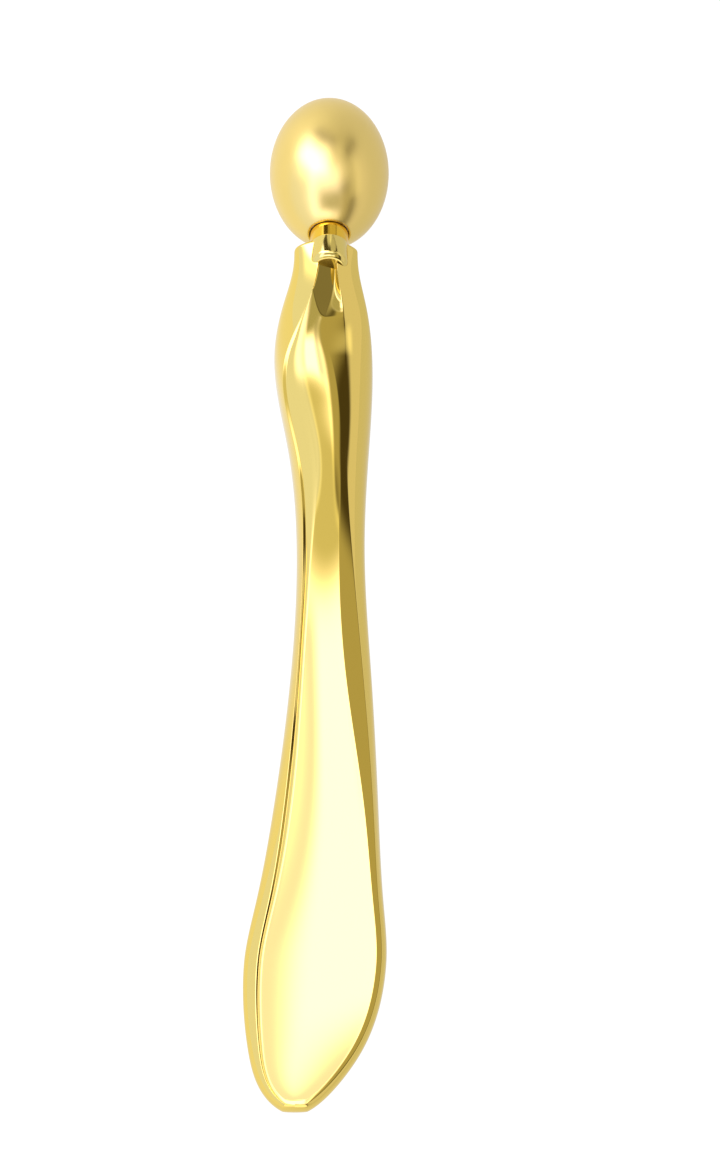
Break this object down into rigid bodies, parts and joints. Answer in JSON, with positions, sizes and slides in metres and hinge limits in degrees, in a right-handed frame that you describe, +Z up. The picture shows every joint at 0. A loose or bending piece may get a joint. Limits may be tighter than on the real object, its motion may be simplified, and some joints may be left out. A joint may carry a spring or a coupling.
{
  "type": "roller wand",
  "caption": "Gold cosmetic wand: an egg-shaped roller turns on a short neck above a polished, sculpted handle that widens into a rimmed scoop blade.",
  "frame": {"origin": "middle of the overall outline seen from above, on the surface the wand lies on", "axes": "+Y along the wand towards the roller, +Z up out of the scooped front face, +X to the right of the front face with the roller at the top"},
  "size_m": [0.0144, 0.1, 0.0162],
  "materials": {
    "polished_gold": "polished",
    "satin_gold": "satin",
    "shaft_gold": "polished",
    "bush_plastic": "matte",
    "washer_steel": "satin",
    "spring_steel": "satin"
  },
  "bodies": {
    "handle": {"handle": "polished_gold", "roller_shaft": "shaft_gold", "thrust_washer": "washer_steel", "clip_washer": "washer_steel", "retaining_clip": "spring_steel"},
    "roller": {"roller_ball": "satin_gold", "lower_bush": "bush_plastic", "upper_bush": "bush_plastic"}
  },
  "joints": [
    {"name": "ball_spin", "type": "hinge", "parent": "handle", "child": "roller", "pos_m": [0.00142, 0.04251, 0.00704], "axis": [0, -0.766, 0.6428], "continuous": true}
  ]
}
